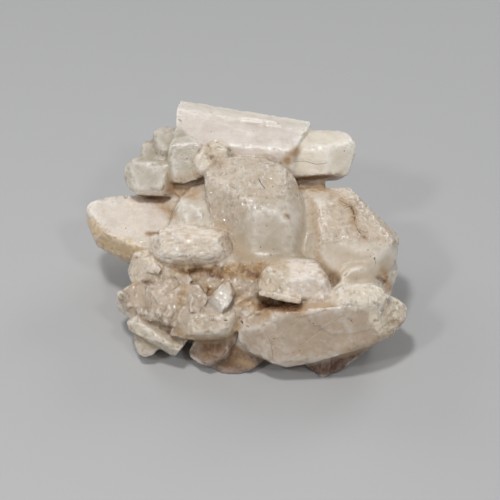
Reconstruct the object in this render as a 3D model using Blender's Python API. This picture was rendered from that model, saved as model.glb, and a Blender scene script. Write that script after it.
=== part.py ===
"""Quartz cluster: milky crystals grown into each other, one natural piece, resting on its broken base.

The visible crystals are noted as they are sighted by an eye in front of the cluster and above it. A
corner is (across, up, out) in millimetres on a pane that stands through the cluster's middle, square to
the sight line: across to the right, up the pane, and out of the pane towards the eye. Crystals at the
back are in level millimetres. Everything ends in metres, +Z up, with the origin under the middle of the
box on the base plane.
"""

import math
import random

import bmesh
import bpy
from mathutils import Matrix, Vector

MM = 0.001

# How the cluster is sighted
SIGHT_ELEVATION = math.radians(38.0)
EYE_DISTANCE = 450.0

# Driving dimensions, in millimetres
BASE_LEVEL = -30.0
CORE_RADII = (36.0, 32.0)
CORE_SPAN = (BASE_LEVEL - 2.0, 6.0)

# A crystal is first drawn out this far towards the eye, then cut back by its faces
BLANK_OUT = 70.0


def sighted(across, up, out):
    """The level place of a corner noted on the pane. Sight lines meet at the eye: near ones close in."""
    closing = 1.0 - out / EYE_DISTANCE
    across, up = across * closing, up * closing
    rise, run = math.sin(SIGHT_ELEVATION), math.cos(SIGHT_ELEVATION)
    return Vector((across, up * rise - out * run, up * run + out * rise))


def middle_of(corners):
    return [sum(corner[axis] for corner in corners) / len(corners) for axis in range(len(corners[0]))]


def hull(points):
    """A bmesh of the flat-faced solid round the points, in millimetres."""
    solid = bmesh.new()
    for point in points:
        solid.verts.new(point)
    made = bmesh.ops.convex_hull(solid, input=solid.verts[:])
    inside = {item for item in made["geom_interior"] if isinstance(item, bmesh.types.BMVert)}
    bmesh.ops.delete(solid, geom=list(inside), context="VERTS")
    bmesh.ops.dissolve_limit(
        solid, angle_limit=math.radians(4.0), verts=solid.verts[:], edges=solid.edges[:]
    )
    return solid


def slice_off(solid, point, normal):
    """Cuts away what lies beyond the plane and closes the cut with one flat face."""
    geometry = solid.verts[:] + solid.edges[:] + solid.faces[:]
    cut = bmesh.ops.bisect_plane(
        solid, geom=geometry, dist=1e-4, plane_co=point, plane_no=normal, clear_outer=True
    )
    rim = [item for item in cut["geom_cut"] if isinstance(item, bmesh.types.BMEdge)]
    if rim:
        bmesh.ops.contextual_create(solid, geom=rim)


def wear(solid, dice, edges, corners, bite):
    """Knocks off corners and edges of a convex solid by uneven flats, at most bite millimetres deep."""
    for kind in ["edge"] * edges + ["corner"] * corners:
        solid.normal_update()
        if kind == "edge":
            edge = dice.choice(solid.edges[:])
            point = edge.verts[0].co.lerp(edge.verts[1].co, dice.uniform(0.3, 0.7))
            normal = sum((face.normal for face in edge.link_faces), Vector())
        else:
            corner = dice.choice(solid.verts[:])
            point = corner.co.copy()
            normal = sum((face.normal for face in corner.link_faces), Vector())
        tilt = Vector(dice.uniform(-0.22, 0.22) for _ in range(3))
        normal = (normal.normalized() + tilt).normalized()
        slice_off(solid, point - normal * bite * dice.uniform(0.4, 1.0), normal)


def place(solid, name, collection):
    """Turns the bmesh into an object in the collection."""
    bmesh.ops.recalc_face_normals(solid, faces=solid.faces[:])
    mesh = bpy.data.meshes.new(name)
    solid.to_mesh(mesh)
    solid.free()
    piece = bpy.data.objects.new(name, mesh)
    collection.objects.link(piece)
    return piece


class Growth:
    """Collects the crystals before they are joined."""

    def __init__(self):
        self.crystals = bpy.data.collections.new("crystals")
        self.bites = bpy.data.collections.new("bites")
        for collection in (self.crystals, self.bites):
            bpy.context.scene.collection.children.link(collection)

    def finish(self, name, solid, edges=5, corners=4, bite=0.6):
        """Wears the solid, by dice of its own so that no crystal changes another, and keeps it."""
        wear(solid, random.Random(name), edges, corners, bite)
        place(solid, name, self.crystals)

    def grown(self, name, front, root, taper=0.8, **worn):
        """A crystal seen from its front corners, narrowing by taper towards its hidden root."""
        middle = middle_of(front)
        back = [
            (root[0] + (across - middle[0]) * taper, root[1] + (up - middle[1]) * taper, root[2])
            for across, up, _ in front
        ]
        self.finish(name, hull([sighted(*corner) for corner in [*front, *back]]), **worn)

    def faced(self, name, outline, waist, faces, root, taper=0.8, **worn):
        """A crystal that fills its sighted outline and is cut back to flat faces.

        A face is a corner on it and how much it comes out per millimetre across and per millimetre up.
        The outline keeps its width down to the waist and narrows by taper from there to the hidden root.
        """
        middle = middle_of(outline)
        points = []
        for across, up in outline:
            points.append(sighted(across, up, BLANK_OUT))
            points.append(sighted(across, up, waist))
            narrow = (root[0] + (across - middle[0]) * taper, root[1] + (up - middle[1]) * taper, root[2])
            points.append(sighted(*narrow))
        solid = hull(points)
        for across, up, out, lean_across, lean_up in faces:
            corner = sighted(across, up, out)
            beside = sighted(across + 1.0, up, out + lean_across)
            above = sighted(across, up + 1.0, out + lean_up)
            slice_off(solid, corner, (beside - corner).cross(above - corner).normalized())
        self.finish(name, solid, **worn)

    def prism(self, name, root, tip, radius, flat=0.85, roll=0.0, cap=0.9, slant=0.25, **worn):
        """A six-sided crystal in level millimetres, from its root to a pointed end."""
        root, tip = Vector(root), Vector(tip)
        axis = (tip - root).normalized()
        side = axis.orthogonal().normalized()
        side.rotate(Matrix.Rotation(roll, 3, axis))
        other = axis.cross(side)
        shoulder = tip - axis * radius * cap
        points = [tip + side * radius * slant, tip - side * radius * slant * 0.4]
        for station, wide in ((root, 1.1), (shoulder, 1.0)):
            for turn in range(6):
                angle = math.tau * turn / 6
                across = side * math.cos(angle) + other * math.sin(angle) * flat
                points.append(station + across * radius * wide)
        self.finish(name, hull(points), **worn)

    def druse(self, name, line, count, radius, lean=(0.0, 0.0)):
        """Small points standing along a sighted line, each leaning its own way off the sight line."""
        dice = random.Random(name)
        start, end = (Vector(corner) for corner in line)
        for number in range(count):
            share = (number + dice.uniform(0.15, 0.85)) / count
            foot = start.lerp(end, share)
            size = radius * dice.uniform(0.6, 1.25)
            sway = Vector((dice.uniform(-1.1, 1.1) + lean[0], dice.uniform(-1.1, 1.1) + lean[1], 1.6))
            tip = foot + sway * size
            root = foot - Vector((0, 0, 2.0)) * size
            self.prism(
                f"{name}_{number}",
                sighted(*root),
                sighted(*tip),
                size,
                roll=dice.uniform(0, math.pi),
                slant=dice.uniform(0.0, 0.4),
                edges=0,
                corners=1,
                bite=0.3,
            )

    def notch(self, name, front, depth, floor=0.5):
        """A notch cut into what is there: sighted corners round it, its depth and its floor's share."""
        middle = middle_of(front)
        bottom = [
            (middle[0] + (across - middle[0]) * floor, middle[1] + (up - middle[1]) * floor, out - depth)
            for across, up, out in front
        ]
        place(hull([sighted(*corner) for corner in [*front, *bottom]]), name, self.bites)


def grow_core(growth):
    """The intergrown mass that every crystal roots in, a rough lump with a flat broken base."""
    dice = random.Random("core")
    rings = ((CORE_SPAN[0], 0.9), (-22.0, 0.98), (-12.0, 1.0), (-2.0, 0.86), (CORE_SPAN[1], 0.62))
    points = []
    for level, share in rings:
        for turn in range(11):
            angle = math.tau * (turn + dice.uniform(-0.3, 0.3)) / 11
            reach = share * dice.uniform(0.9, 1.0)
            across = CORE_RADII[0] * reach * math.cos(angle)
            points.append(Vector((across, -2.0 + CORE_RADII[1] * reach * math.sin(angle), level)))
    growth.finish("core", hull(points), edges=0, corners=0)


def grow_top(growth):
    """The two long prisms across the top at the back, what sits on them and the slab under the right."""
    left_end = [
        (-23.5, 49.6, -20), (-25.0, 46.8, -10), (-25.8, 35, -3), (-21, 24, -6), (-18, 20, -22),
        (-21, 38, -31),
    ]
    right_end = [
        (23.6, 42, -17), (22.6, 38.5, -7), (20, 31, 0), (16, 18, -6), (18, 14, -20), (22, 31, -29),
    ]
    solid = hull([sighted(*corner) for corner in left_end + right_end])
    growth.finish("top_prism", solid, edges=3, corners=4, bite=0.5)
    left_end = [(-12, 44, -24), (-14, 40, -32), (-11, 30, -34), (-12, 32, -26)]
    right_end = [(12, 40, -22), (14, 36, -31), (13, 27, -32), (12, 30, -24)]
    solid = hull([sighted(*corner) for corner in left_end + right_end])
    growth.finish("top_back_step", solid, edges=2, corners=3, bite=0.5)
    right_end = [
        (33, 39.0, -15), (37.2, 37.7, -12), (39.8, 34.8, -10), (39.9, 31, -9), (38.6, 26.4, -8),
        (36.8, 21.8, -9), (34.4, 19.0, -11), (33, 22, -25), (36, 32, -27), (34, 38, -21),
        (30, 33, -3.5), (29, 22, -4.5), (37, 34, -6),
    ]
    left_end = [
        (2, 39, -16), (0, 36, -7), (0, 29, -3), (2, 22, -5), (4, 19.5, -12), (2, 21, -25), (0, 33, -28),
    ]
    solid = hull([sighted(*corner) for corner in left_end + right_end])
    growth.finish("top_right_prism", solid, edges=2, corners=3, bite=0.4)
    growth.faced(
        "top_lobe",
        [
            (-19, 28), (-17.6, 30.3), (-14, 29.5), (-12, 26.5), (-14.5, 22.5), (-16, 21.4), (-18.2, 22),
            (-19.4, 24.5),
        ],
        waist=-6,
        faces=[(-16, 26, 3, -0.1, -0.2), (-18, 26, 2, 1.2, 0), (-15.5, 23, 2.4, 0.2, 1.0)],
        root=(-14, 30, -14),
    )
    growth.faced(
        "ridge_chip",
        [
            (-14.8, 28.8), (-13.7, 32.8), (-10.8, 34.4), (-7.2, 32.6), (-5.2, 30.2), (-6.5, 27),
            (-11.5, 25),
        ],
        waist=-6,
        faces=[(-10, 30, 3.2, 0.2, -0.8), (-12, 29, 2.6, 0.9, 0.2), (-8, 29, 3.2, -0.7, 0.1)],
        root=(-10, 30, -12),
        edges=3,
        corners=3,
        bite=0.4,
    )
    growth.faced(
        "ridge_knob",
        [(-2.5, 43.8), (4.6, 43.7), (11.5, 41.7), (13, 40.2), (6, 40.8), (-1.4, 42)],
        waist=-14,
        faces=[(4, 42, -7.2, -0.05, -0.5), (4, 43, -7.6, 0.0, -1.6), (4, 41, -7.2, 0.1, 0.4)],
        root=(4, 38, -18),
        edges=3,
        corners=3,
        bite=0.35,
    )
    growth.grown(
        "gap_slab",
        [(18, 22, -9.5), (28.8, 22, -10.5), (29.2, 14, -10.5), (18, 12, -8.5)],
        root=(20, 14, -28),
        edges=0,
        corners=0,
    )


def grow_top_left(growth):
    """The stack of blunt crystals at the upper left, each a step in front of the one behind."""
    growth.faced(
        "left_end_crystal",
        [
            (-44, 23.8), (-43, 26.5), (-40, 29.2), (-37, 29.5), (-30.6, 28.2), (-28.6, 24),
            (-27.2, 17.6), (-30, 16), (-36, 15.4), (-39.5, 15.6), (-42.7, 18.4), (-43.6, 21),
        ],
        waist=-11,
        faces=[
            (-35, 21, -2.0, 0.12, -0.16), (-36, 27.4, -3.4, 0.05, -1.1), (-42.2, 22, -3.8, 0.9, 0.05),
            (-36, 16.6, -2.0, 0.05, 1.2), (-28.6, 22, -1.9, -1.2, 0.1),
        ],
        root=(-24, 20, -26),
        edges=2,
        corners=2,
        bite=0.4,
    )
    growth.faced(
        "left_step_crystal",
        [
            (-38.0, 31), (-37.3, 34.6), (-34.2, 35.4), (-31.2, 33.4), (-27.4, 28), (-34.6, 25.5),
            (-37.8, 28),
        ],
        waist=-16,
        faces=[
            (-34, 30, -5.0, 0.15, -0.45), (-34, 34, -7.2, 0, -1.4), (-37, 31, -6.0, 1.2, 0),
            (-33, 28, -4.4, 0.1, 0.6),
        ],
        root=(-22, 24, -26),
        edges=1,
        corners=2,
        bite=0.4,
    )
    growth.faced(
        "left_shoulder_crystal",
        [
            (-33.5, 38.2), (-30.8, 40), (-28.0, 40.2), (-25.4, 39.4), (-22, 34), (-22, 26), (-26, 21),
            (-29, 24), (-31.5, 30), (-33.3, 33),
        ],
        waist=-18,
        faces=[
            (-28, 34, -3.5, 0.1, -0.45), (-28, 38.5, -6.0, 0.05, -1.5), (-32, 34, -4.4, 1.3, 0.1),
            (-28, 31.5, -2.6, 0.1, 0.6),
        ],
        root=(-24, 29, -26),
        taper=0.7,
        edges=2,
        corners=2,
        bite=0.4,
    )
    growth.faced(
        "left_front_shoulder",
        [
            (-28.8, 31), (-26.4, 35.4), (-21, 37), (-16.4, 34), (-15.4, 27), (-18.2, 20.8),
            (-22.3, 19.6), (-27, 20), (-28.2, 24.5),
        ],
        waist=-12,
        faces=[
            (-23, 27, -1.2, 0.03, -0.12), (-24, 34, -2.2, 0.06, -0.5), (-27.4, 27, -1.8, 0.8, 0.05),
            (-23, 21.0, -0.4, 0.0, 0.8),
        ],
        root=(-20, 26, -26),
        taper=0.7,
        edges=3,
        corners=2,
        bite=0.4,
    )
    growth.grown(
        "left_filler",
        [(-28, 20, -8), (-13, 23.5, -3.5), (-12.5, 15, -3), (-17, 13, -4), (-27, 12, -8)],
        root=(-17, 14, -22),
        edges=0,
        corners=0,
    )
    growth.faced(
        "ochre_filler",
        [(-27, 20.5), (-18.5, 20.5), (-18, 16), (-20.5, 13.2), (-23, 14), (-26.8, 17.5)],
        waist=-9,
        faces=[(-22, 17, -5.0, 0.3, -0.3)],
        root=(-18, 14, -20),
        edges=2,
        corners=2,
        bite=0.4,
    )


def grow_left(growth):
    """The broad crystal reaching out to the left, and the upright wedge beside it."""
    growth.faced(
        "left_crystal",
        [
            (-57.2, 11.4), (-54.6, 14.2), (-47, 15.3), (-36.7, 14.9), (-28.8, 15.4), (-24, 14),
            (-25, 9), (-28, 3), (-31, -2), (-38, -7), (-42.1, -9.6), (-46.4, -7), (-53.6, -2.9),
            (-55.8, 1.8), (-57.7, 6.7),
        ],
        waist=-14,
        faces=[
            (-42, 7, -3.5, 0.12, -0.85), (-43.9, -1.1, 3.2, 0.78, 0.75), (-56, 8, -6.4, 1.4, -0.2),
            (-38, -4, 4.4, 0.3, 0.9), (-50, 13, -9.6, 0.1, -1.6),
        ],
        root=(-28, 6, -26),
        taper=0.7,
        edges=4,
        corners=5,
        bite=0.5,
    )
    for number, (across, up) in enumerate([(-51.6, 15.2), (-46.8, 16.1), (-43.4, 15.6)]):
        growth.notch(
            f"left_edge_notch_{number}",
            [(across - 1.5, up + 0.9, -5), (across + 1.6, up + 0.9, -5), (across + 0.2, up - 2.0, -5)],
            depth=9,
            floor=1.0,
        )
    growth.faced(
        "wedge_crystal",
        [
            (-20, 18.2), (-15.1, 19.6), (-14, 14.8), (-11, 5), (-18.4, 3), (-28.6, 2.6), (-26, 9.9),
            (-23.4, 14.8),
        ],
        waist=-6,
        faces=[(-18, 9, 6.0, 0.25, -0.55), (-24, 8, 3.2, 1.1, -0.35), (-18, 16.5, 1.6, 0.2, -1.3)],
        root=(-14, 8, -16),
        edges=3,
        corners=3,
        bite=0.4,
    )
    growth.faced(
        "wedge_step",
        [(-25.6, 9), (-22.8, 12.8), (-21.5, 8), (-23, 3), (-28.6, 2.6)],
        waist=-4,
        faces=[(-24.5, 7, 4.0, 0.5, -0.4)],
        root=(-16, 6, -14),
        edges=1,
        corners=2,
        bite=0.3,
    )


def grow_centre(growth):
    """The fat central crystal: an etched end leaning back, a smooth front and smooth sides."""
    growth.faced(
        "central_crystal",
        [
            (-15.1, 23.5), (-11.9, 26.8), (-4, 29.4), (6.5, 28.6), (13.7, 26), (17.8, 21.2),
            (20.2, 15.5), (22.3, 8.3), (23.4, 0.4), (24.1, -8.6), (24, -16), (3.2, -18), (-3.5, -13.3),
            (-5.8, -2.9), (-11.9, 5), (-14.4, 14.8),
        ],
        waist=-2,
        faces=[
            (8, 0, 18.2, 0.0, 0.06), (3, 12, 17.9, -0.05, -0.62), (3, 26, 7.6, -0.02, -1.6),
            (5, 9.5, 18.3, 0.02, -0.3), (17, 0, 17.6, -1.1, 0.05), (16.5, 17, 11.6, -1.1, -0.7),
            (3, -2, 17.8, 0.56, 0.08), (-8, 14, 14.2, 0.8, -0.4), (-6, 22, 10.2, 0.5, -0.95),
        ],
        root=(6, 4, -18),
        taper=0.75,
        edges=3,
        corners=3,
        bite=0.5,
    )
    growth.notch(
        "central_pit",
        [
            (0.4, 21.6, 16.4), (3.4, 22.2, 16.2), (6.8, 20.4, 17.6), (6.2, 18.2, 19), (3.0, 16.6, 19.4),
            (1.0, 18.4, 18.4),
        ],
        depth=5.6,
        floor=0.12,
    )
    growth.notch(
        "central_scar",
        [(-5.4, 18.6, 18.6), (-2.6, 19.6, 18), (-0.6, 17.8, 19), (-2.2, 16.2, 20), (-4.6, 16.8, 19.6)],
        depth=4.6,
        floor=0.1,
    )


def grow_right(growth):
    """The broad crystal on the right, one face turned up and one down, and the rock at its foot."""
    growth.faced(
        "right_crystal",
        [
            (19, 17.6), (28.7, 17.0), (31.3, 18.0), (37.2, 18.2), (40.4, 14.2), (46.9, 7.8),
            (55.2, 0.6), (54.8, -2.9), (54, -9.4), (50.8, -13.3), (47.5, -15.7), (41, -17.2),
            (31.3, -17), (27, -12), (23, -8.6), (21, -2.9), (20, 3.6),
        ],
        waist=-4,
        faces=[
            (38, 8, 10.9, -0.3, -0.62), (38, -8, 16.6, -0.13, 0.02), (38, -13.5, 15.2, 0.0, 1.1),
            (38, -1, 16.2, -0.22, -0.3),
            (49, -8.5, 14.0, -0.8, 0.3), (22, 5, 11, 1.0, -0.5), (45.6, 8.8, 7.4, -1.75, -1.8),
            (53.4, -4, 10.8, -1.8, 0), (32, 16.5, 4.6, -0.1, -1.5), (27.6, -12.5, 15.0, 0.5, 0.5),
        ],
        root=(30, 2, -18),
        taper=0.75,
        edges=3,
        corners=3,
        bite=0.5,
    )
    growth.faced(
        "right_crystal_plate",
        [
            (30.5, 7), (33, 12.5), (37.5, 14.8), (41, 11.6), (47, 5.6), (51, 1.2), (45, 1.6), (37, 3.4),
            (31.5, 2.6),
        ],
        waist=2,
        faces=[(38, 8, 11.3, -0.28, -0.6), (31.6, 7, 13.2, 0.9, -0.4)],
        root=(36, 4, -6),
        edges=2,
        corners=4,
        bite=0.4,
    )
    growth.faced(
        "right_rock",
        [
            (50.5, -9), (54.0, -8.4), (55.0, -12), (53.3, -17), (51.9, -20.7), (47, -19.5), (44, -20),
            (42, -16), (47, -13),
        ],
        waist=0,
        faces=[(50, -14, 12.0, -0.7, 0.1), (53, -13, 8.6, -1.6, 0.1)],
        root=(36, -12, -10),
        taper=0.9,
        edges=4,
        corners=5,
        bite=0.5,
    )
    growth.grown(
        "right_gap_filler",
        [(18, -2, 9.5), (25.4, -3, 12), (30, -10, 14), (35, -18, 16), (27, -19, 15), (19, -12, 12)],
        root=(26, -8, -6),
        edges=1,
        corners=2,
        bite=0.4,
    )
    growth.grown(
        "pale_lump",
        [(30.8, -18.8, 26), (35.5, -15.0, 24), (39.8, -16.6, 25), (36, -20, 28.5), (33.5, -16.6, 26.5)],
        root=(34, -16, 10),
        edges=2,
        corners=2,
        bite=0.4,
    )


def grow_middle_left(growth):
    """The glassy spindle below the central crystal, the lump at its left and the mass under it."""
    growth.faced(
        "spindle_crystal",
        [
            (-34.2, 0.6), (-29.5, 3.7), (-24.8, 4.5), (-18.4, 5.2), (-11.9, 4.8), (-7.2, 2),
            (-4.5, -2.2), (-5.2, -6.1), (-7.2, -8.8), (-11.9, -9.8), (-18.4, -11.2), (-23, -11.2),
            (-26, -10.2), (-31.3, -8), (-34.8, -4.7),
        ],
        waist=11,
        faces=[
            (-18, 2, 21.0, 0.0, -1.15), (-18, -3, 23.0, 0.03, -0.12), (-18, -8, 22.2, 0.0, 1.2),
            (-31, -2, 20.2, 1.3, 0.05), (-8, -2, 21.2, -1.2, -0.1), (-12, -7, 22.4, -0.4, 0.8),
            (-26, -1, 22.0, 0.5, -0.35), (-27, -7, 21.6, 0.4, 0.9),
        ],
        root=(-18, -4, 2),
        taper=0.9,
        edges=3,
        corners=3,
        bite=0.4,
    )
    growth.faced(
        "left_lump",
        [
            (-40.5, -5.4), (-35.5, -4), (-31, -7), (-25.5, -10), (-24.5, -13.5), (-33.5, -16.4),
            (-41, -16.6), (-42.6, -12),
        ],
        waist=3,
        faces=[
            (-36, -8, 14.0, 0.35, -0.7), (-36, -13, 15.0, 0.35, 0.35), (-41, -11, 10.0, 1.3, 0.0),
            (-28, -12, 17.4, 0.1, 0.1),
        ],
        root=(-28, -8, -10),
        taper=0.9,
        edges=4,
        corners=4,
        bite=0.5,
    )
    growth.grown(
        "lump_point",
        [
            (-37.6, -7.0, 14), (-34.2, -6.4, 15), (-30.4, -11.6, 19.5), (-31.8, -13.2, 18.5),
            (-36.4, -12, 15.5),
        ],
        root=(-33, -10, 8),
        taper=0.9,
        edges=1,
        corners=1,
        bite=0.3,
    )
    growth.grown(
        "crevice_mass",
        [(-26, -9, 12), (-5, -7, 14), (4, -12, 15), (4, -18, 15), (-10, -20, 12), (-26, -16, 10)],
        root=(-8, -10, -5),
        taper=1.0,
        edges=0,
        corners=0,
    )
    growth.druse("spindle_fringe", ((-26, -10.5, 17.5), (-8, -8.6, 18)), 7, 1.3, lean=(0, -0.9))
    growth.druse("crevice_druse", ((-24, -13.0, 13), (3, -14.6, 16.5)), 11, 1.5, lean=(0, 0.2))


def grow_lower_left(growth):
    """The lower left mass: a rough lobe, a smooth face, a groove, blades, a spur and a bigger crystal."""
    growth.faced(
        "lower_lobe",
        [
            (-46.9, -22.6), (-45, -19), (-40.9, -16.4), (-35.3, -15.7), (-31, -16.4), (-30.5, -20),
            (-31.7, -26), (-34.6, -30), (-38.2, -31.2), (-42, -27.4), (-46.1, -26),
        ],
        waist=2,
        faces=[
            (-38, -21, 14.6, 0.35, -0.35), (-40, -26.5, 14.0, 0.45, 0.55), (-44, -20, 12.0, 0.7, -0.5),
            (-45, -24, 11.0, 1.1, 0.4),
        ],
        root=(-24, -14, -10),
        edges=5,
        corners=5,
        bite=0.5,
    )
    growth.faced(
        "lower_smooth_face",
        [
            (-35.4, -16.2), (-30, -14.6), (-24.6, -13.4), (-22.2, -17.3), (-24.6, -24.1), (-28, -29),
            (-34.6, -30.2), (-37.1, -25.9),
        ],
        waist=4,
        faces=[(-29, -19, 18.4, 0.12, -0.42), (-31, -26, 20.4, 0.2, 0.35), (-35, -22, 17.2, 0.9, -0.1)],
        root=(-22, -16, -8),
        edges=2,
        corners=3,
        bite=0.4,
    )
    growth.faced(
        "lower_slope",
        [
            (-36.2, -28.4), (-31, -24.5), (-23, -24), (-19, -29.5), (-21.6, -35.6), (-28.1, -34.4),
            (-35.2, -32.4),
        ],
        waist=7,
        faces=[(-27, -29, 21.2, 0.18, -0.12), (-28, -33, 20.4, 0.12, 1.0), (-34, -30, 19.4, 0.8, 0.2)],
        root=(-18, -18, -6),
        edges=4,
        corners=4,
        bite=0.5,
    )
    growth.faced(
        "groove_chip",
        [(-25.2, -13.9), (-22.0, -12.2), (-19.8, -15.0), (-23.4, -17.2)],
        waist=10,
        faces=[(-22.5, -14.5, 18.6, 0.3, -0.5)],
        root=(-21, -15, 4),
        edges=1,
        corners=1,
        bite=0.3,
    )
    growth.faced(
        "groove_blade",
        [
            (-22.6, -22.3), (-20.2, -18.5), (-17.2, -14.9), (-14.8, -15.3), (-14.9, -20.2),
            (-17, -26.8), (-22.6, -27),
        ],
        waist=10,
        faces=[(-18, -20, 21.6, -0.35, -0.55), (-20.8, -20.5, 20.8, 1.5, -0.6)],
        root=(-16, -18, -4),
        edges=2,
        corners=2,
        bite=0.3,
    )
    growth.faced(
        "bright_spur",
        [
            (-15.8, -25.2), (-12.2, -20.9), (-6.5, -15.6), (-3.5, -16.4), (-3.8, -19.4), (-5.8, -24.2),
            (-8.6, -27),
        ],
        waist=12,
        faces=[
            (-8, -20, 24.2, 0.12, -0.5), (-12.2, -22, 23.2, 1.2, 0.3), (-4.6, -20, 23.2, -1.6, -0.2),
        ],
        root=(-9, -20, 6),
        edges=1,
        corners=1,
        bite=0.3,
    )
    growth.faced(
        "lower_crystal",
        [
            (-25.6, -30.2), (-23, -27), (-17.6, -25.4), (-8.6, -25.6), (-1.2, -26.4), (-2.1, -30.2),
            (-3.6, -33.5), (-7.2, -36.2), (-15.8, -36.9), (-23, -36.2), (-27.6, -34.8),
        ],
        waist=12,
        faces=[
            (-13, -31, 25.6, 0.06, -0.12), (-13, -27.6, 24.9, 0.0, -0.95), (-13, -34.6, 25.0, 0.0, 1.3),
            (-22, -32, 23.6, 0.6, 0.1), (-4.6, -30, 24.4, -0.9, 0.2), (-7, -33.4, 24.8, -0.5, 0.9),
        ],
        root=(-10, -18, -6),
        edges=3,
        corners=4,
        bite=0.4,
    )
    growth.notch(
        "lower_crystal_pit",
        [
            (-13.6, -28.4, 27), (-12.2, -27.6, 27), (-10.8, -28.6, 27), (-11.2, -30.4, 27),
            (-13.0, -30.8, 27),
        ],
        depth=2.6,
        floor=0.1,
    )
    growth.notch(
        "lower_edge_pit",
        [(-8.6, -28.6, 27), (-7.0, -28.0, 27), (-5.8, -28.8, 27), (-6.4, -30.0, 27), (-8.0, -29.8, 27)],
        depth=2.2,
        floor=0.1,
    )
    growth.faced(
        "crevice_facets",
        [
            (-5.2, -16.2), (-2.2, -14.2), (1.4, -15.1), (5.2, -18.7), (3.8, -22.8), (0.4, -27),
            (-3.6, -27), (-6, -22.3),
        ],
        waist=8,
        faces=[
            (-1, -19, 20.4, 0.25, -0.35), (-1.5, -23.4, 21.2, -0.15, 0.3), (3.4, -20, 20.6, -0.7, -0.1),
        ],
        root=(0, -18, -2),
        edges=2,
        corners=3,
        bite=0.4,
    )
    growth.grown(
        "cave_slope",
        [
            (-3.5, -21, 20), (3.5, -21.5, 21), (8, -24.5, 19), (6, -29.5, 22), (-1, -29.5, 24),
            (-4, -26, 22.5),
        ],
        root=(4, -24, 4),
        edges=2,
        corners=3,
        bite=0.4,
    )
    growth.faced(
        "small_plate",
        [
            (-43, -30.2), (-39.2, -29.7), (-31.7, -33.4), (-24.1, -37.2), (-23.3, -39.2),
            (-25.2, -42.3), (-26.8, -42.3), (-31, -39.8), (-34.6, -37.8), (-38.9, -35.2),
            (-42.1, -33.2),
        ],
        waist=4,
        faces=[
            (-33, -35, 18.2, 0.12, -0.1), (-33, -37.4, 18.0, 0.62, 1.3), (-33, -34.2, 18.2, -0.4, -0.8),
        ],
        root=(-24, -28, -8),
        edges=2,
        corners=2,
        bite=0.3,
    )
    growth.faced(
        "small_plate_tooth",
        [
            (-40.4, -34.4), (-34.6, -36.6), (-31.4, -39.0), (-33.5, -42), (-36, -43), (-38.6, -42),
            (-40.2, -38.5),
        ],
        waist=3,
        faces=[(-36, -39, 13.8, 0.1, 0.25), (-39, -39, 12.8, 1.0, 0.2)],
        root=(-24, -28, -8),
        edges=1,
        corners=2,
        bite=0.3,
    )
    growth.druse("lobe_druse", ((-44, -21, 11.5), (-35, -28.5, 16)), 4, 2.0)
    growth.druse("slope_druse", ((-32, -25, 20.0), (-23, -32.5, 21.0)), 5, 1.7)
    growth.druse("groove_druse", ((-16.5, -16.5, 17.5), (-6, -14.6, 17)), 5, 1.3)


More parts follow.
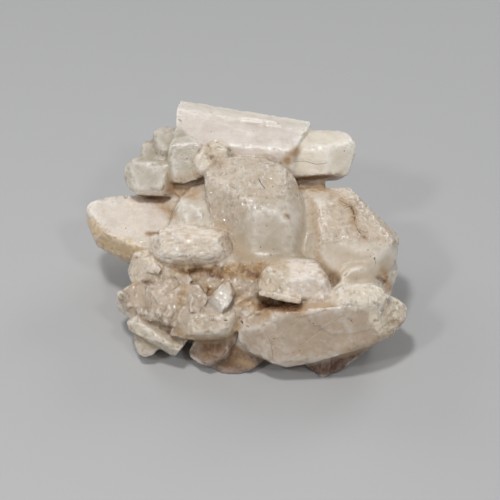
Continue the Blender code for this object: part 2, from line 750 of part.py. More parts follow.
def grow_lower_right(growth):
    """The big plate at the lower right, the ridge and lumps on its rim, and the block above it."""
    growth.faced(
        "block",
        [
            (4.1, -15.1), (6.5, -11.9), (12.2, -8.3), (16.9, -8.2), (26.6, -9.2), (29.4, -13.3),
            (30.8, -16.6), (30.3, -21.5), (25, -22.3), (19.8, -23.9), (13.7, -22.8), (8.4, -20.6),
            (4.6, -19.4),
        ],
        waist=20,
        faces=[
            (17, -11, 28.0, 0.02, -1.1), (22, -16, 31.5, -0.25, 0.12), (12, -16, 30.6, 0.6, -0.1),
            (18, -21, 31.4, 0.0, 1.3), (28.6, -15, 29.4, -1.8, -0.3), (8, -18.6, 28.4, 0.8, 0.7),
            (25, -12.4, 29.2, -0.6, -0.7),
        ],
        root=(17, -14, 8),
        taper=0.9,
        edges=4,
        corners=4,
        bite=0.4,
    )
    growth.grown(
        "block_foot_plate",
        [
            (4.0, -19.4, 30), (12, -20, 33.6), (20, -22.4, 34.6), (19.5, -24, 34.6), (12, -22.6, 33.8),
            (4.4, -20.9, 30.6),
        ],
        root=(14, -19, 22),
        edges=0,
        corners=1,
        bite=0.3,
    )
    growth.notch(
        "block_chip",
        [(12.2, -18.2, 36), (14.4, -16.8, 36), (17.4, -17.6, 36), (17.8, -19.4, 36), (14.2, -20.4, 36)],
        depth=3.8,
        floor=0.1,
    )
    growth.faced(
        "big_plate",
        [
            (-2.4, -30.2), (3.2, -26.9), (9, -25.8), (20.2, -23.7), (30.6, -22.9), (49.1, -22.8),
            (53.3, -21.5), (57.6, -24.7), (57.6, -28), (56.4, -30.3), (52.2, -35.2), (43.6, -39.4),
            (36.4, -41.5), (25, -44.7), (14.6, -46.6), (9.7, -45.2), (7.2, -43.3), (0.9, -40.9),
            (-2.9, -36.7),
        ],
        waist=14,
        faces=[
            (20, -33, 30.2, -0.03, 0.55), (38, -28, 31.6, -0.28, 0.45), (52, -28, 24.8, -1.0, 0.35),
            (8, -38, 27.3, 0.7, 0.75), (15, -26.5, 33.0, 0.05, -1.1), (20, -45.0, 23.4, 0.0, 1.7),
            (42, -38.6, 25.4, -0.5, 1.3), (2, -30, 26.6, 0.8, -0.2),
        ],
        root=(28, -30, 6),
        taper=0.85,
        edges=4,
        corners=5,
        bite=0.5,
    )
    growth.faced(
        "big_plate_step",
        [(21, -25.2), (45, -24.5), (50, -28), (44, -33), (33, -36), (24, -31)],
        waist=18,
        faces=[(20, -33, 30.6, -0.03, 0.55), (38, -28, 32.0, -0.28, 0.45), (34, -34, 29.6, -0.1, 1.1)],
        root=(34, -29, 10),
        edges=2,
        corners=3,
        bite=0.3,
    )
    growth.faced(
        "plate_end",
        [
            (49.5, -22.4), (53.4, -21.2), (56, -23), (57.9, -24.6), (58.0, -28.2), (56.2, -31),
            (52.6, -35.4), (49, -33), (48.8, -26),
        ],
        waist=12,
        faces=[
            (53, -26, 25.2, -0.8, -0.35), (53, -31, 23.6, -0.8, 0.5), (56.4, -26, 21.8, -1.8, 0.1),
            (50.5, -28, 26.4, 0.2, 0.2),
        ],
        root=(42, -28, 4),
        edges=4,
        corners=5,
        bite=0.5,
    )
    growth.faced(
        "plate_ridge",
        [
            (31.0, -24.2), (33.5, -19.8), (38.9, -17.1), (46.8, -16.4), (50, -19.1), (51.7, -21.8),
            (49.4, -25), (40, -26),
        ],
        waist=14,
        faces=[
            (42, -20, 30.2, -0.25, -0.85), (42, -23, 32.8, -0.24, 0.35), (34, -21, 32.0, 1.0, -0.7),
            (50, -21, 27.6, -1.3, -0.2),
        ],
        root=(38, -20, 6),
        taper=0.9,
        edges=3,
        corners=4,
        bite=0.4,
    )
    growth.druse("cave_druse", ((31, -19.5, 24), (28, -22.6, 30)), 3, 1.2)
    growth.druse("rim_druse", ((1.5, -27.4, 28), (19, -24.4, 31.4)), 6, 1.0, lean=(0, 0.5))


def grow_feet(growth):
    """The crystals under the front that the cluster stands on."""
    growth.faced(
        "foot_left",
        [
            (-20.7, -41), (-18, -37.6), (-11.2, -36), (-4.8, -35.6), (-4.6, -39.2), (-6.1, -42.6),
            (-11.5, -47), (-16.7, -45.2), (-19.9, -42.9),
        ],
        waist=6,
        faces=[
            (-12, -41, 17.6, 0.25, 0.1), (-10, -44.4, 16.8, -0.3, 1.1), (-18, -42, 15.2, 1.1, 0.3),
            (-5.6, -40, 17.8, -1.5, 0.6),
        ],
        root=(-8, -30, -8),
        taper=0.85,
        edges=2,
        corners=2,
        bite=0.4,
    )
    growth.faced(
        "foot_middle",
        [
            (-13.4, -46.6), (-5.2, -41), (-3.6, -36.5), (1.4, -38), (7.4, -42), (7.4, -43.4), (1, -48),
            (-7.2, -50.2), (-10.8, -49.8),
        ],
        waist=4,
        faces=[
            (-2, -44, 14.8, 0.12, 0.35), (-3, -48, 13.6, 0.0, 1.0), (4, -43, 15.2, -0.7, 0.5),
            (-9, -47.4, 12.8, 0.9, 0.4),
        ],
        root=(0, -32, -8),
        taper=0.85,
        edges=2,
        corners=2,
        bite=0.4,
    )
    growth.faced(
        "foot_right",
        [
            (20.6, -45), (25, -49), (29.9, -49.4), (33.2, -48.3), (35.7, -44.2), (45.4, -39),
            (49.7, -36), (44, -32), (24, -38),
        ],
        waist=3,
        faces=[
            (30, -45, 14.6, -0.12, 0.4), (28, -48, 13.6, 0.0, 1.1), (42, -40, 13.6, -0.6, 0.8),
            (24, -46, 13.8, 0.7, 0.5),
        ],
        root=(28, -32, -8),
        taper=0.85,
        edges=3,
        corners=3,
        bite=0.4,
    )
    growth.faced(
        "foot_right_tooth",
        [(25.4, -46), (25.9, -49.6), (28, -50.2), (30.2, -49.4), (30.6, -46)],
        waist=3,
        faces=[(28, -48, 15.4, 0.05, 0.5), (26.2, -48, 14.8, 1.2, 0.2)],
        root=(28, -34, -8),
        edges=1,
        corners=1,
        bite=0.3,
    )


def grow_back(growth):
    """Blunt prisms on the hidden sides, fanning out low from the core like the ones in front."""
    growth.prism("back_left_prism", (-12, 8, -10), (-43, 33, -14), 12, roll=0.4, flat=0.7, cap=0.6)
    growth.prism(
        "back_middle_prism", (0, 12, -14), (5, 47, -15), 14, roll=0.1, flat=0.75, cap=0.5, edges=6
    )
    growth.prism("back_right_prism", (15, 8, -14), (44, 25, -17), 11, roll=0.7, cap=0.7)
    growth.prism("back_upper_prism", (-5, 12, 0), (-15, 43, -2), 12, roll=0.9, flat=0.7, cap=0.5)
    growth.prism("back_lean_prism", (8, 10, -6), (27, 38, -7), 10, roll=0.2, flat=0.8, cap=0.7)
    growth.prism("left_under_prism", (-15, 5, -8), (-42, 19, -13), 8.5, roll=0.5, cap=0.7)
    growth.prism("right_under_prism", (18, -2, -14), (50, -5, -19), 10, roll=0.3, flat=0.75, cap=0.6)
    growth.prism("left_low_prism", (-15, -5, -14), (-39, -6, -22), 9, roll=0.8, cap=0.7)
    growth.prism("back_low_left_prism", (-6, 14, -14), (-26, 41, -24), 9, roll=0.6, cap=0.6)
    growth.prism("back_low_right_prism", (8, 14, -14), (26, 38, -25), 10, roll=0.0, cap=0.6)
    growth.prism("back_top_prism", (8, 16, 4), (22, 38, 6), 8, roll=0.35, cap=0.6)
    growth.prism("back_crest_left", (-4, 28, 4), (-8, 50, 6), 7, roll=0.5, flat=0.8, cap=0.5)
    growth.prism("back_crest_right", (10, 26, 2), (13, 49.5, 3), 7.5, roll=1.2, flat=0.7, cap=0.5)
    growth.prism("back_crest_small", (-14, 30, 2), (-19, 49, 4), 5, roll=0.1, cap=0.6)
    growth.prism("left_side_prism", (-16, 8, -16), (-44, 14, -24), 7, roll=1.0, cap=0.7)
    growth.prism("right_low_prism", (16, 4, -18), (43, 12, -26), 8, roll=0.2, cap=0.7)
    dice = random.Random("back druse")
    for number in range(26):
        around = math.radians(dice.uniform(-15, 195))
        level = dice.uniform(-26, -3)
        reach = Vector((math.cos(around) * 36, math.sin(around) * 33, level))
        away = Vector((math.cos(around), math.sin(around), dice.uniform(-0.2, 0.5))).normalized()
        growth.prism(
            f"back_druse_{number}",
            reach - away * 14,
            reach + away * dice.uniform(1.5, 6),
            dice.uniform(2.2, 4.4),
            roll=dice.uniform(0, math.pi),
            cap=dice.uniform(0.6, 1.0),
            edges=1,
            corners=2,
            bite=0.4,
        )


def boolean(target, collection, operation):
    """Adds an exact Boolean of the whole collection to the target."""
    step = target.modifiers.new(f"{operation.lower()} {collection.name}", "BOOLEAN")
    step.operation = operation
    step.operand_type = "COLLECTION"
    step.collection = collection
    step.solver = "EXACT"


def keep_outer_skin(mesh):
    """Fills the pockets closed in between the crystals, and drops crumbs that a notch cut loose."""
    skin = bmesh.new()
    skin.from_mesh(mesh)
    waiting = set(skin.verts)
    islands = []
    while waiting:
        island = set()
        edge_of_island = [waiting.pop()]
        while edge_of_island:
            vertex = edge_of_island.pop()
            island.add(vertex)
            for edge in vertex.link_edges:
                other = edge.other_vert(vertex)
                if other in waiting:
                    waiting.remove(other)
                    edge_of_island.append(other)
        islands.append(island)
    islands.sort(key=len)
    loose = [vertex for island in islands[:-1] for vertex in island]
    bmesh.ops.delete(skin, geom=loose, context="VERTS")
    skin.to_mesh(mesh)
    skin.free()


def joined(growth):
    """One closed mesh of all the crystals, cut flat at the base level and set down on it, in metres."""
    ground = bmesh.new()
    bmesh.ops.create_cube(ground, size=200.0)
    bmesh.ops.translate(ground, vec=(0, 0, BASE_LEVEL - 100.0), verts=ground.verts[:])
    place(ground, "ground", growth.bites)
    start = growth.crystals.objects["core"]
    growth.crystals.objects.unlink(start)
    bpy.context.scene.collection.objects.link(start)
    boolean(start, growth.crystals, "UNION")
    boolean(start, growth.bites, "DIFFERENCE")
    bpy.context.view_layer.update()
    graph = bpy.context.evaluated_depsgraph_get()
    mesh = bpy.data.meshes.new_from_object(start.evaluated_get(graph))
    for item in bpy.data.objects[:]:
        bpy.data.objects.remove(item)
    for collection in (growth.crystals, growth.bites):
        bpy.data.collections.remove(collection)
    keep_outer_skin(mesh)
    mesh.transform(Matrix.Scale(MM, 4))
    lowest = Vector(min(v.co[axis] for v in mesh.vertices) for axis in range(3))
    highest = Vector(max(v.co[axis] for v in mesh.vertices) for axis in range(3))
    middle = (lowest + highest) / 2
    shift = Vector((-middle.x, -middle.y, -lowest.z))
    mesh.transform(Matrix.Translation(shift))
    return mesh, shift


def milky_quartz():
    """White quartz, slightly warm, clouded and glossy."""
    material = bpy.data.materials.new("milky_quartz")
    material.use_nodes = True
    shader = material.node_tree.nodes["Principled BSDF"]
    shader.inputs["Base Color"].default_value = (0.72, 0.66, 0.58, 1.0)
    shader.inputs["Roughness"].default_value = 0.35
    shader.inputs["Metallic"].default_value = 0.0
    shader.inputs["IOR"].default_value = 1.54
    return material


def main():
    for item in bpy.data.objects[:]:
        bpy.data.objects.remove(item)
    growth = Growth()
    grow_core(growth)
    grow_top(growth)
    grow_top_left(growth)
    grow_left(growth)
    grow_centre(growth)
    grow_right(growth)
    grow_middle_left(growth)
    grow_lower_left(growth)
    grow_lower_right(growth)
    grow_feet(growth)
    grow_back(growth)
    mesh, pane_middle = joined(growth)
    mesh.name = "quartz_cluster"
    mesh.materials.clear()
    mesh.materials.append(milky_quartz())
    cluster = bpy.data.objects.new("quartz_cluster", mesh)
    cluster["pane_middle"] = pane_middle
    bpy.context.scene.collection.objects.link(cluster)


main()
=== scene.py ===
import math

import bmesh
import bpy
import numpy as np
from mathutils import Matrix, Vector, noise
from mathutils.bvhtree import BVHTree


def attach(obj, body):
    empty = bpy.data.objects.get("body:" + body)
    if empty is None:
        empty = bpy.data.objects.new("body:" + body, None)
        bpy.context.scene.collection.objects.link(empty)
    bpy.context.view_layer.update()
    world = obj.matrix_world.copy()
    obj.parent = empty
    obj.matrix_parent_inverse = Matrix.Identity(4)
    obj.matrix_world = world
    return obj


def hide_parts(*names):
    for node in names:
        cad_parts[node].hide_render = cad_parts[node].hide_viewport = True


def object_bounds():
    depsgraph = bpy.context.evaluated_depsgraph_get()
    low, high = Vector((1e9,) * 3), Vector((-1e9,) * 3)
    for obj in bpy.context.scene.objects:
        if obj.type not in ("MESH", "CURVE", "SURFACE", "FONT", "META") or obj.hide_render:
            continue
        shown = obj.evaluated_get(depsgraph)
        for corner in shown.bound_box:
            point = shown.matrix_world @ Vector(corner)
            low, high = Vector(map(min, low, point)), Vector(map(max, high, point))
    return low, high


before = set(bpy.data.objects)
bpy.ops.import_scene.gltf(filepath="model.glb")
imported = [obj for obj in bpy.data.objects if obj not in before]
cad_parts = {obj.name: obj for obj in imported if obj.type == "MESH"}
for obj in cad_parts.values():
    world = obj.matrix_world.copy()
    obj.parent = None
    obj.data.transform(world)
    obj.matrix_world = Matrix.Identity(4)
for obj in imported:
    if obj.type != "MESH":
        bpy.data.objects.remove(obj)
cad_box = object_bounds()
MM = 0.001


# Quartz cluster: its skin
# The whole cluster is one natural piece, milky quartz crystals that grew into each other. The piece is one
# closed skin over them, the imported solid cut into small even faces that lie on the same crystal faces.

FACE_SIZE = 0.42 * MM
SAME_PLACE = 1e-6
BASE_HEIGHT = 0.05 * MM

solid = bmesh.new()
solid.from_mesh(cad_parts["quartz_cluster"].data)
bmesh.ops.remove_doubles(solid, verts=solid.verts[:], dist=SAME_PLACE)
crystal_faces = BVHTree.FromBMesh(solid)
skin = bpy.data.meshes.new("quartz_skin")
solid.to_mesh(skin)
solid.free()
cluster = bpy.data.objects.new("quartz_skin", skin)
bpy.context.scene.collection.objects.link(cluster)


def carried_out(piece, kind, **settings):
    """Puts one modifier on the piece and keeps the mesh that it makes."""
    modifier = piece.modifiers.new(kind.lower(), kind)
    for name, value in settings.items():
        setattr(modifier, name, value)
    bpy.context.view_layer.update()
    graph = bpy.context.evaluated_depsgraph_get()
    mesh = bpy.data.meshes.new_from_object(piece.evaluated_get(graph))
    piece.modifiers.clear()
    piece.data = mesh
    return mesh


def places(mesh):
    """Where the mesh's corners are."""
    at = np.empty(len(mesh.vertices) * 3)
    mesh.vertices.foreach_get("co", at)
    return at.reshape(-1, 3)


def facing(mesh):
    """Which way the mesh faces at its corners."""
    out = np.empty(len(mesh.vertices) * 3)
    mesh.vertices.foreach_get("normal", out)
    return out.reshape(-1, 3)


def move_to(mesh, at):
    mesh.vertices.foreach_set("co", at.ravel())
    mesh.update()


def links_of(mesh):
    """The corners at the two ends of every edge of the mesh."""
    ends = np.empty(len(mesh.edges) * 2, dtype=np.int64)
    mesh.edges.foreach_get("vertices", ends)
    return ends[0::2], ends[1::2]


def evened(values, links, times=1, pull=1.0):
    """The values at the corners, each drawn towards the middle of its neighbours'."""
    first, second = links
    count = len(values)
    flat = values.reshape(count, -1)
    pull = np.broadcast_to(np.reshape(pull, (-1, 1)), (count, 1))
    valence = np.maximum(np.bincount(first, minlength=count) + np.bincount(second, minlength=count), 1)
    for _ in range(times):
        near = [
            np.bincount(first, column[second], count) + np.bincount(second, column[first], count)
            for column in flat.T
        ]
        flat = flat + (np.stack(near, axis=1) / valence[:, None] - flat) * pull
    return flat.reshape(values.shape)


skin = carried_out(cluster, "REMESH", mode="VOXEL", voxel_size=FACE_SIZE)
at, links = places(skin), links_of(skin)
for _ in range(2):
    at = evened(at, links)
    at = np.array([crystal_faces.find_nearest(spot)[0] for spot in at])
# 0 on the flat broken base, which keeps its place, and 1 elsewhere.
loose = np.where(at[:, 2] < BASE_HEIGHT, 0.0, 1.0)


# Quartz cluster: its crystals
# Each crystal that shows is noted by its outline, in millimetres across and up a pane through the cluster's
# middle, square to the view. It has its own tint, set to how it looks under the light, so that it holds
# painted light and shade besides its own colour. Its faces are more or less lumpy from etching, broken into
# small facets, furrowed, grainy, rounded by wear, and glossy.

SIGHT_ELEVATION = math.radians(38.0)
EYE_DISTANCE = 450.0
PANE_MIDDLE = Vector((1.512, -3.244, 30.0)) * MM
RISE, RUN = math.sin(SIGHT_ELEVATION), math.cos(SIGHT_ELEVATION)
FINISH = ("lumpy", "broken", "furrowed", "grainy", "rounded", "gloss")

# An outline, the tint as it looks under the light, with painted light and shade in it, the finishes in the
# order above and, for one crystal that has no sharp border, how softly it ends.
CRYSTALS = {
    "top_prism": (
        [
            (-26, 46), (-24, 50.5), (24, 42.5), (22, 38), (14, 28), (8, 27), (-5, 31), (-13, 33),
            (-17, 33), (-21, 37), (-26, 35),
        ],
        (226, 215, 205), (0.06, 0.06, 0.3, 0.35, 0.01, 0.3),
    ),
    "top_prism_back": (
        [(-26, 50.5), (-22, 50.2), (24, 43), (24, 39), (21, 38.6), (-24, 46.4)],
        (243, 233, 220), (0.1, 0.12, 0.5, 0.3, 0.005, 0.3),
    ),
    "top_right_prism": (
        [(23, 40), (38, 39), (41, 33), (38, 18), (20, 18), (16, 23), (13, 28), (20, 35)],
        (237, 227, 210), (0.06, 0.05, 0.3, 0.3, 0.2, 0.3),
    ),
    "upper_left": (
        [
            (-45, 20), (-42, 30), (-34, 41), (-25, 41), (-21, 37), (-16, 33), (-15, 22), (-22, 19),
            (-30, 15), (-40, 14),
        ],
        (183, 173, 155), (0.05, 0.05, 0.05, 0.2, 0.02, 0.3),
    ),
    "lobe": (
        [(-20, 27), (-18, 31), (-15, 30), (-13, 26), (-15, 21.5), (-18.5, 21.5)],
        (213, 199, 179), (0.3, 0.1, 0, 0.2, 0.15, 0.5),
    ),
    "glassy_chip": (
        [(-15, 28), (-14, 34), (-10, 35.5), (-5, 31.5), (-6, 26), (-12, 25)],
        (228, 214, 192), (0.4, 0.9, 0, 0, 0, 1),
    ),
    "left_top": (
        [(-59, 9), (-56, 16), (-27, 16.5), (-24, 10), (-31, 1), (-42, 0), (-49, 1), (-56, 8)],
        (232, 220, 207), (0.05, 0.06, 0, 1, 0.015, 0.4),
    ),
    "left_under": (
        [(-59, 9), (-56, 8), (-49, 1), (-42, 0), (-36, -4), (-43, -11), (-59, 0)],
        (221, 195, 152), (0.15, 0.15, 0.1, 0.8, 0.025, 0.3),
    ),
    "wedge": (
        [(-24, 15), (-20, 19), (-15, 20), (-14, 15), (-11.5, 5.5), (-18, 5), (-28.5, 4), (-26, 10)],
        (214, 205, 191), (0.05, 0.06, 0.5, 0.2, 0.02, 0.4),
    ),
    "central_end": (
        [
            (-15.5, 24), (-12, 28), (7, 30), (14, 27), (18, 22), (21, 13), (20, 7), (10, 11), (1, 9),
            (-6, 0), (-12, 4), (-15, 15),
        ],
        (207, 191, 171), (0.3, 0.34, 0.35, 0.2, 0.08, 1),
    ),
    "central_front": (
        [(-6, 0), (0, 9), (8, 14), (20, 15), (24, 3), (25, -9), (9, -10), (3, -16), (-3, -14)],
        (191, 177, 156), (0.05, 0.02, 0, 0.1, 1, 0.3), 2.6,
    ),
    "right_upper": (
        [(26, 10), (32, 18), (38, 19), (48, 8), (56, 0), (55, -3), (37, -1.5), (26, -3)],
        (216, 198, 176), (0.22, 0.26, 0.2, 0.3, 0.02, 0.6),
    ),
    "right_lower": (
        [(26, -3), (37, -1.5), (55, -3), (53, -10), (48, -15.5), (42, -17), (31, -16), (27, -10)],
        (214, 199, 177), (0.06, 0, 0.05, 0.1, 0.35, 0.3),
    ),
    "crevice": (
        [
            (-5, -8.6), (5.8, -8.6), (10.4, -10.8), (4.3, -16), (-2.2, -16), (-25, -15.8), (-25, -10.8),
            (-7.2, -10),
        ],
        (187, 151, 104), (0.4, 0.45, 0.1, 0.3, 0.025, 0.6),
    ),
    "spindle": (
        [
            (-35, 1), (-29.5, 4), (-18, 5.5), (-7, 2.5), (-4, -3), (-6, -9), (-12, -10), (-25, -11.5),
            (-32, -8.5), (-35, -5),
        ],
        (230, 214, 194), (0.3, 0.2, 1, 0.1, 0.15, 1),
    ),
    "left_lump": (
        [(-41, -5), (-35, -4), (-32, -8), (-25, -11), (-24, -14), (-41, -17), (-43, -12)],
        (223, 205, 182), (0.25, 0.4, 0.2, 0.1, 0.04, 0.8),
    ),
    "lower_left": (
        [
            (-48, -22), (-41, -16), (-25, -13), (-4, -14), (2, -15), (5, -19), (0, -27), (-3, -34),
            (-8, -37), (-28, -36), (-37, -31),
        ],
        (197, 178, 156), (0.2, 0.4, 0.1, 0.2, 0.005, 1),
    ),
    "lower_crystal": (
        [(-22, -33), (-18, -28), (-5, -26), (-1, -31), (-4, -36), (-12, -37), (-22, -36)],
        (202, 183, 158), (0.15, 0.25, 0.1, 0.2, 0.04, 0.6),
    ),
    "bright_spur": (
        [(-16, -25.5), (-12, -20.5), (-6.5, -15.3), (-3.3, -16), (-4, -20), (-6, -25), (-9, -27)],
        (212, 202, 189), (0.1, 0.2, 0.2, 0.2, 0, 0.7),
    ),
    "small_plate": (
        [
            (-43.5, -30), (-39, -29.5), (-24, -37), (-23, -39.5), (-26, -43), (-31, -41), (-36, -43.5),
            (-40, -42),
        ],
        (196, 181, 158), (0.1, 0.2, 0.2, 0.3, 0.05, 0.5),
    ),
    "block_left": (
        [(3, -16), (6, -11), (12, -8), (16, -11), (16, -18), (12, -21), (4, -21)],
        (221, 204, 180), (0.4, 0.4, 0.1, 0.3, 0.04, 0.7),
    ),
    "block_right": (
        [(12, -8), (27, -9), (31, -16), (30.5, -22), (20, -24.5), (12, -21), (16, -18), (16, -11)],
        (237, 222, 206), (0.15, 0.35, 0.7, 0.3, 0.02, 0.6),
    ),
    "big_plate": (
        [
            (-3, -30), (3, -26.5), (20, -23.5), (31, -23), (52, -23), (58, -24), (58, -30), (44, -40),
            (25, -45.5), (14, -47.5), (0, -42),
        ],
        (203, 181, 157), (0.05, 0.12, 0, 0.1, 0.03, 0.6),
    ),
    "plate_end": (
        [(46, -22), (53, -21), (58, -24), (58, -30), (48, -37), (44, -30)],
        (252, 235, 210), (0.6, 0.4, 0.1, 0.2, 0.15, 0.5),
    ),
    "plate_ridge": (
        [(31, -24), (33.5, -19.5), (39, -17), (47, -16), (52, -22), (50, -27), (40, -26)],
        (227, 213, 191), (0.3, 0.3, 0.4, 0.2, 0.1, 0.8),
    ),
    # The two feet sit low in the shade under the cluster. Their dark tints are painted shade as well as
    # their own warm brown.
    "feet": (
        [(-21, -41), (-18, -37), (-5, -36.5), (0, -41), (8, -44), (1, -49), (-8, -51), (-13, -48)],
        (134, 102, 73), (0.04, 0.06, 0.1, 0.1, 0.04, 1),
    ),
    "right_foot": (
        [(20, -46), (25, -50), (34, -50), (37, -45), (50, -37), (44, -39.8), (36, -42), (25, -45.5)],
        (105, 66, 40), (0.05, 0.1, 0.1, 0.1, 0.04, 0.8),
    ),
}
# The crystals at the back and between the others, which the outlines don't take in.
HIDDEN = (228, 217, 201), (0.2, 0.3, 0.25, 0.25, 0.02, 0.5)
SHOWN_DEPTH, SHOWN_FADE = 27.0, 6.0


def on_pane(points):
    """Across, up and out of the pane, in millimetres, of points in metres."""
    level = (points - np.array(PANE_MIDDLE)) / MM
    out = level[:, 2] * RISE - level[:, 1] * RUN
    closing = 1.0 - out / EYE_DISTANCE
    return level[:, 0] / closing, (level[:, 1] * RISE + level[:, 2] * RUN) / closing, out


def showing(out):
    """1 for what lies in front or not far behind the pane, fading to 0 at the back of the cluster."""
    return np.clip((out + SHOWN_DEPTH) / SHOWN_FADE, 0.0, 1.0)


def gap_to(start, end, across, up):
    """How far places on the pane are from a line between two others, and on which side of it."""
    along = (end[0] - start[0], end[1] - start[1])
    length = max(along[0] ** 2 + along[1] ** 2, 1e-9)
    share = np.clip(((across - start[0]) * along[0] + (up - start[1]) * along[1]) / length, 0.0, 1.0)
    aside = (across - start[0]) * along[1] - (up - start[1]) * along[0]
    gap = np.hypot(across - start[0] - share * along[0], up - start[1] - share * along[1])
    return gap, np.where(aside < 0.0, -1.0, 1.0)


def inside(outline, across, up, soft=0.8):
    """1 well inside the outline and 0 well outside it, with a soft step over its edge."""
    within = np.zeros(len(across), dtype=bool)
    nearest = np.full(len(across), 1e9)
    for start, end in zip(outline, outline[1:] + outline[:1]):
        between = (start[1] > up) != (end[1] > up)
        rise = end[1] - start[1]
        crossing = start[0] + (end[0] - start[0]) * (up - start[1]) / (rise if rise else 1.0)
        within ^= between & (across < crossing)
        nearest = np.minimum(nearest, gap_to(start, end, across, up)[0])
    return np.clip(np.where(within, nearest, -nearest) / (2 * soft) + 0.5, 0.0, 1.0)


def linear(colour):
    """The linear light of a colour given as it looks, 0 to 255."""
    share = np.array(colour) / 255.0
    return np.where(share <= 0.04045, share / 12.92, ((share + 0.055) / 1.055) ** 2.4)


def finishes(points):
    """The tint of the crystals at each of the points, with its painted light and shade, and each of their
    finishes by its name.
    """
    across, up, out = on_pane(points)
    seen = showing(out)
    found = np.tile(np.hstack([linear(HIDDEN[0]), HIDDEN[1]]), (len(points), 1))
    for outline, tint_and_shade, amounts, *fade in CRYSTALS.values():
        share = (inside(outline, across, up, *fade) * seen)[:, None]
        found = found * (1.0 - share) + np.hstack([linear(tint_and_shade), amounts]) * share
    return found[:, :3], dict(zip(FINISH, found[:, 3:].T))


# Quartz cluster: wear and relief
# Years in wet ground rounded some crystals and etched others into hummocks and pits. Broken ends show small
# stepped facets, and every sharp edge has lost chips.

tint_and_shade, finish = finishes(at)
at = evened(at, links, pull=loose * 0.35)
at = evened(at, links, times=70, pull=loose * np.clip(finish["rounded"], 0.0, 0.95))
move_to(skin, at)
normal = facing(skin)


def bulge(at, links, normal, times):
    """How far corners stand out from what is around them, in millimetres. More times take in more."""
    return np.einsum("ij,ij->i", at - evened(at, links, times=times), normal) / MM


def soft_noise(points, size, detail, seed):
    """Noise of about -1 to 1 with lumps of that size in millimetres."""
    return np.array([noise.fractal(spot, 0.9, 2.1, detail) for spot in points / (size * MM) + seed])


def ridges(points, size, seed):
    """0 to 1, with sharp crests about that many millimetres apart."""
    return np.array([1.0 - abs(noise.noise(spot)) * 2.0 for spot in points / (size * MM) + seed])


def steps(points, size, seed):
    """Small facets with steps between them, of about -0.5 to 0.5, each tilted its own way."""
    heights = []
    for spot in points / (size * MM) + seed:
        spot = Vector(spot)
        centre = noise.voronoi(spot)[1][0]
        tilt = noise.cell_vector(centre * 31.7) - Vector((0.5, 0.5, 0.5))
        heights.append((spot - centre).dot(tilt) * 1.6)
    return np.array(heights)


def pits(points, size, seed):
    """0 down to -1 in the middle of round steep-sided pits that far apart in millimetres."""
    reach, steepness = 0.42, 0.7
    nearest = np.array([noise.voronoi(spot)[0][0] for spot in points / (size * MM) + seed])
    return -np.clip(1.0 - nearest / reach, 0.0, 1.0) ** steepness


wave = soft_noise(at, size=9.0, detail=2, seed=3.0)
hummock = soft_noise(at, size=2.6, detail=3, seed=11.0)
bent = at + soft_noise(at, size=3.0, detail=2, seed=13.0)[:, None] * normal * MM
crest = ridges(bent, size=1.9, seed=17.0)
furrow = ridges(at * (0.3, 1.0, 1.0), size=1.3, seed=23.0)
grain = soft_noise(at, size=1.1, detail=2, seed=19.0)
facet = steps(at, size=3.2, seed=5.0) + steps(at, size=1.5, seed=9.0) * 0.45
patches = np.clip(soft_noise(at, size=5.0, detail=2, seed=7.0) * 2.0 + 0.4, 0.0, 1.0)
pocked = pits(at, size=1.9, seed=21.0) * patches
chip = np.clip(soft_noise(at, size=2.2, detail=3, seed=31.0) + 0.1, 0.0, 1.0)
edge = np.clip(bulge(at, links, normal, times=14) / 0.22, 0.0, 1.0)
lumpy, broken, furrowed, grainy = (finish[name] for name in FINISH[:4])
# How far each place moves out, in millimetres.
depth = (
    wave * 0.1
    + lumpy * (hummock * 0.24 + pocked * 0.26 + (crest - 0.5) * 0.2)
    + (0.05 + broken) * facet * 0.55
    + furrowed * (furrow - 0.5) * 0.26
    + grainy * grain * 0.13
    - edge * chip * (0.6 + 0.5 * np.maximum(lumpy, broken))
)
at = at + normal * (depth * loose)[:, None] * MM
at = np.clip(at, cad_box[0], cad_box[1])
at[loose == 0.0, 2] = 0.0
move_to(skin, at)

TRIANGLES = 190_000
skin.calc_loop_triangles()
skin = carried_out(cluster, "DECIMATE", ratio=min(1.0, TRIANGLES / len(skin.loop_triangles)))
skin.name = "quartz_skin"
at = np.clip(places(skin), cad_box[0], cad_box[1])
move_to(skin, at)
links, normal = links_of(skin), facing(skin)
